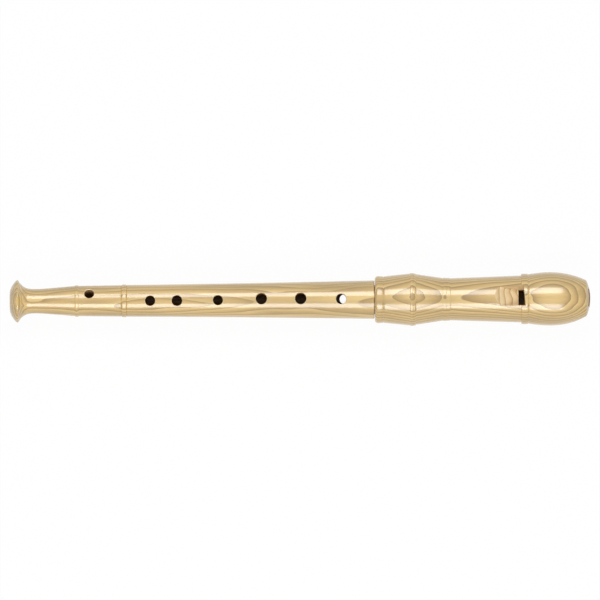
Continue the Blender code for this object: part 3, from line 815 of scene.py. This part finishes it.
def windway_roof(x):
    """Height of the windway's roof over the bore's axis at a place along the head."""
    rise = (WINDWAY_ENTRY_HEIGHT - WINDWAY_EXIT_HEIGHT) * windway_share(x)
    return WINDWAY_FLOOR + WINDWAY_EXIT_HEIGHT + rise


def windway_cutter():
    """The slot over the block, with a chamfer where it opens into the window."""
    stations = (
        (WINDOW_END - WINDOW_LENGTH / 2, WINDWAY_CHAMFER),
        (WINDOW_END, WINDWAY_CHAMFER),
        (WINDOW_END + WINDWAY_CHAMFER, 0.0),
        (HEAD_LENGTH + BEAK_END_LENGTH, 0.0),
    )
    bottom = math.sqrt(HEAD_BORE_RADIUS**2 - (WINDWAY_ENTRY_WIDTH / 2) ** 2) - 2 * SEAT_GAP
    sections = []
    for x, lift in stations:
        half_width = windway_half_width(x)
        outline = [(half_width, bottom), (-half_width, bottom), *arch(half_width, windway_roof(x) + lift)]
        sections.append([(HEAD_START + x, y, AXIS_HEIGHT + z) for y, z in outline])
    return cutter("windway_cutter", sections, ramp_wood)


def ramp_half_width(z):
    """Half the ramp's width at a height, leaning out to the surface."""
    return WINDOW_WIDTH / 2 + WINDOW_FLARE * max(z - LIP_HEIGHT, 0.0)


def window_cutters():
    """The window's slot, the ramp down to the lip, and the hollow under the lip."""
    low = HEAD_BORE_RADIUS / 2
    slot_top = LIP_HEIGHT + SLOT_OVERLAP
    slot = [(LIP_PLACE, low), (WINDOW_END, low), (WINDOW_END, slot_top), (LIP_PLACE, slot_top)]
    barrel_slope = (BARREL_RADIUS - NECK_RADIUS) / BARREL_LENGTH
    surface = BARREL_RADIUS - barrel_slope * (RAMP_LENGTH + WINDOW_LENGTH)
    slope = (surface - LIP_HEIGHT) / RAMP_LENGTH
    top = BEAK_RADIUS + WINDOW_WIDTH / 2
    start = LIP_PLACE - (top - LIP_HEIGHT) / slope
    ramp = [(start, top), (LIP_PLACE, LIP_HEIGHT), (WINDOW_END, LIP_HEIGHT), (WINDOW_END, top)]
    under = LIP_HEIGHT - LIP_THICKNESS
    inside = LIP_PLACE + WINDOW_LENGTH / 2
    hollow = [(LIP_PLACE - UNDERCUT_LENGTH, low), (inside, low), (inside, under), (LIP_PLACE, under)]
    return [
        across("window_cutter", slot, lambda z: WINDOW_WIDTH / 2, head_bore_wood),
        across("ramp_cutter", ramp, ramp_half_width, ramp_wood, RAMP_ROLL),
        across("undercut_cutter", hollow, lambda z: WINDOW_WIDTH / 2, head_bore_wood, RAMP_ROLL),
    ]


def lip_cutter(finish):
    """The round cut under the beak, rising to the tip."""
    centre_x = HEAD_LENGTH + LIP_CUT_RADIUS * math.sin(LIP_CUT_TIP_SLOPE)
    centre_z = LIP_CUT_TIP_HEIGHT - LIP_CUT_RADIUS * math.cos(LIP_CUT_TIP_SLOPE)
    outline = []
    for i in range(LIP_CUT_STEPS + 1):
        angle = LIP_CUT_SWEEP * i / LIP_CUT_STEPS
        x = centre_x - LIP_CUT_RADIUS * math.sin(angle)
        outline.append((x, centre_z + LIP_CUT_RADIUS * math.cos(angle)))
    outline.append((centre_x, outline[-1][1]))
    sections = []
    for y in (-LIP_CUT_REACH, LIP_CUT_REACH):
        sections.append([(HEAD_START + x, y, AXIS_HEIGHT + z) for x, z in outline])
    return cutter("lip_cutter", sections, finish)


def in_head_bore(x, radius):
    """The bore and the socket's inside."""
    margin = FACE_MARGIN / 2
    place = x - HEAD_START
    in_socket = margin < place < SOCKET_DEPTH + margin and radius < SOCKET_RADIUS + margin
    return in_socket or radius < HEAD_BORE_RADIUS + margin


head = turn_piece("recorder_head", head_profile(), head_lacquer)
finish_inside(head, head_bore_wood, in_head_bore)
cut(head, [*window_cutters(), windway_cutter(), lip_cutter(head_lacquer)])
outward(head)
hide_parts("head_joint")
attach(head, "head")

# Block
# A plug of plain cedar pressed into the beak and cut with it for the lip, with the windway over it.
# It is planed and left unlacquered, so it is matt and a little redder than the head.
BLOCK_RADIUS = HEAD_BORE_RADIUS - SEAT_GAP
BLOCK_ROUND_STEPS = 72
DOME_SIZES = (1.0, 0.8, 0.6, 0.4, 0.2, 0.05)
CEDAR_LAYER = 1.083
CEDAR_FIBRE = (12.5, 0.25)
CEDAR_GRAIN_DEPTH = 0.05 * MM

# A wave texture of scale 1 has a band in every this many units
WAVE_BANDS = 2 * math.pi / 20


def block_section(x, drop=0.0, size=1.0):
    """The block's cross-section: round below, with a raised arched top that fits the windway."""
    half_width = windway_half_width(x) - SEAT_GAP
    corner = math.asin(half_width / BLOCK_RADIUS)
    outline = []
    for i in range(BLOCK_ROUND_STEPS + 1):
        angle = corner + (2 * math.pi - 2 * corner) * i / BLOCK_ROUND_STEPS
        outline.append((BLOCK_RADIUS * math.sin(angle), BLOCK_RADIUS * math.cos(angle)))
    outline += arch(half_width, WINDWAY_FLOOR - drop)
    return [(y * size, z * size) for y, z in outline]


def cedar_material():
    """Planed cedar: thin reddish-brown year layers and fine straight fibres."""
    material = bpy.data.materials.new("planed cedar")
    material.use_nodes = True
    tree = material.node_tree
    shader = tree.nodes["Principled BSDF"]
    at = add(tree, "ShaderNodeTexCoord").outputs["Object"]
    in_mm = add(tree, "ShaderNodeVectorMath", {"operation": "SCALE"}, {0: at, "Scale": 1 / MM}).outputs[0]
    lean = add(tree, "ShaderNodeMapping", inputs={0: in_mm, "Rotation": (0.5, 0.0, 0.02)}).outputs[0]
    rings = add(
        tree,
        "ShaderNodeTexWave",
        {"bands_direction": "Z", "wave_profile": "SAW"},
        {"Vector": lean, "Scale": WAVE_BANDS / CEDAR_LAYER, "Distortion": 1.2, "Detail": 2.0},
    ).outputs["Fac"]
    tint = add(tree, "ShaderNodeValToRGB", inputs={0: rings})
    set_stops(tint, ((0.0, "#B58C60"), (0.7, "#A0764C"), (1.0, "#7E5634")))
    fibre = figure(tree, in_mm, CEDAR_FIBRE, 3.0)
    shade = add(
        tree,
        "ShaderNodeMapRange",
        inputs={"Value": fibre, "From Min": 0.3, "From Max": 0.7, "To Min": 0.85, "To Max": 1.1},
    ).outputs[0]
    final = add(
        tree, "ShaderNodeVectorMath", {"operation": "SCALE"}, {0: tint.outputs[0], "Scale": shade}
    ).outputs[0]
    tree.links.new(final, shader.inputs["Base Color"])
    grain = add(
        tree, "ShaderNodeBump", inputs={"Strength": 0.5, "Distance": CEDAR_GRAIN_DEPTH, "Height": fibre}
    ).outputs[0]
    tree.links.new(grain, shader.inputs["Normal"])
    shader.inputs["Roughness"].default_value = 0.7
    return material


def block_sections():
    """Sections from the window face to the domed end, flush with the beak."""
    sections = []
    for x, drop in ((WINDOW_END, WINDWAY_CHAMFER), (WINDOW_END + WINDWAY_CHAMFER, 0.0)):
        sections.append([(HEAD_START + x, y, AXIS_HEIGHT + z) for y, z in block_section(x, drop)])
    for size in DOME_SIZES:
        domed = []
        for y, z in block_section(HEAD_LENGTH, 0.0, size):
            domed.append((HEAD_START + HEAD_LENGTH - end_dome(math.hypot(y, z)), y, AXIS_HEIGHT + z))
        sections.append(domed)
    return sections


cedar = cedar_material()
block = cutter("cedar_block", block_sections(), cedar)
cut(block, [lip_cutter(cedar)])
outward(block)
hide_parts("block")
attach(block, "head")

# Table
# A plain white surface. It shows as even white and keeps a faint shadow under the recorder.
FLOOR_SIZE = 6.0
FLOOR_EVEN = 0.96


def backdrop_rays(tree):
    """1 for the rays that should see the plain white ground: the camera's, mirrored and passing ones."""
    path = add(tree, "ShaderNodeLightPath").outputs
    seen = add(
        tree, "ShaderNodeMath", {"operation": "MAXIMUM"}, {0: path["Is Camera Ray"], 1: path["Is Glossy Ray"]}
    ).outputs[0]
    return add(
        tree, "ShaderNodeMath", {"operation": "MAXIMUM"}, {0: seen, 1: path["Is Transmission Ray"]}
    ).outputs[0]


def floor_material():
    """White paper: diffuse, and even white where the camera sees it."""
    material = bpy.data.materials.new("white paper")
    material.use_nodes = True
    tree = material.node_tree
    tree.nodes.clear()
    paper = add(tree, "ShaderNodeBsdfDiffuse", inputs={"Color": linear("#F2F2F2")})
    white = add(tree, "ShaderNodeEmission", inputs={"Color": linear("#FFFFFF"), "Strength": 1.0})
    even = add(
        tree, "ShaderNodeMath", {"operation": "MULTIPLY"}, {0: backdrop_rays(tree), 1: FLOOR_EVEN}
    ).outputs[0]
    mixed = add(
        tree, "ShaderNodeMixShader", inputs={0: even, 1: paper.outputs[0], 2: white.outputs[0]}
    )
    add(tree, "ShaderNodeOutputMaterial", inputs={"Surface": mixed.outputs[0]})
    return material


floor_mesh = bpy.data.meshes.new("table")
half = FLOOR_SIZE / 2
floor_mesh.from_pydata(
    [(-half, -half, 0.0), (half, -half, 0.0), (half, half, 0.0), (-half, half, 0.0)], [], [(0, 1, 2, 3)]
)
floor_mesh.materials.append(floor_material())
floor = link_mesh("table", floor_mesh)

# Light and camera
# Two long soft boxes hang over the bench, one on each side of the camera, in a pale room.
# The camera looks almost straight down with a long lens, turned a little so the beak rises.
ROOM_WHITE = 0.30
BOX_LENGTH = 0.9
BOX_WIDTH = 0.46
BOX_DISTANCE = 1.0
BOX_POWER = 5.6
VIEW_ELEVATION = math.radians(83.5)
VIEW_DISTANCE = 6.0
VIEW_WIDTH = 0.3359
VIEW_ROLL = math.radians(0.27)
SENSOR_WIDTH = 36.0
FARTHEST_SEEN = 20.0
LIGHT_SIDES = (math.radians(36.0), math.radians(-37.0))

world = bpy.data.worlds.new("pale room")
bpy.context.scene.world = world
world.use_nodes = True
room = world.node_tree
room.nodes.clear()
strength = add(
    room,
    "ShaderNodeMapRange",
    inputs={"Value": backdrop_rays(room), "To Min": ROOM_WHITE, "To Max": 1.0},
).outputs[0]
air = add(room, "ShaderNodeBackground", inputs={"Color": linear("#FFFFFF"), "Strength": strength})
add(room, "ShaderNodeOutputWorld", inputs={"Surface": air.outputs[0]})

middle = Vector((0.0, 0.0, AXIS_HEIGHT))
view_tilt = math.pi / 2 - VIEW_ELEVATION
for number, side in enumerate(LIGHT_SIDES):
    lamp = bpy.data.lights.new(f"soft_box_{number}", "AREA")
    lamp.shape = "RECTANGLE"
    lamp.size = BOX_LENGTH
    lamp.size_y = BOX_WIDTH
    lamp.energy = BOX_POWER
    lamp_object = bpy.data.objects.new(lamp.name, lamp)
    bpy.context.scene.collection.objects.link(lamp_object)
    lean = view_tilt + side
    lamp_object.location = middle + Vector((0.0, -math.sin(lean), math.cos(lean))) * BOX_DISTANCE
    lamp_object.rotation_euler = (lean, 0.0, 0.0)

lens = bpy.data.cameras.new("long lens")
lens.sensor_width = SENSOR_WIDTH
lens.lens = SENSOR_WIDTH * VIEW_DISTANCE / VIEW_WIDTH
lens.clip_end = FARTHEST_SEEN
camera = bpy.data.objects.new("camera", lens)
bpy.context.scene.collection.objects.link(camera)
back = Vector((0.0, -math.sin(view_tilt), math.cos(view_tilt)))
turned = Matrix.Rotation(view_tilt, 4, "X") @ Matrix.Rotation(-VIEW_ROLL, 4, "Z")
camera.matrix_world = Matrix.Translation(middle + back * VIEW_DISTANCE) @ turned
bpy.context.scene.camera = camera
bpy.context.scene.view_settings.view_transform = "Standard"
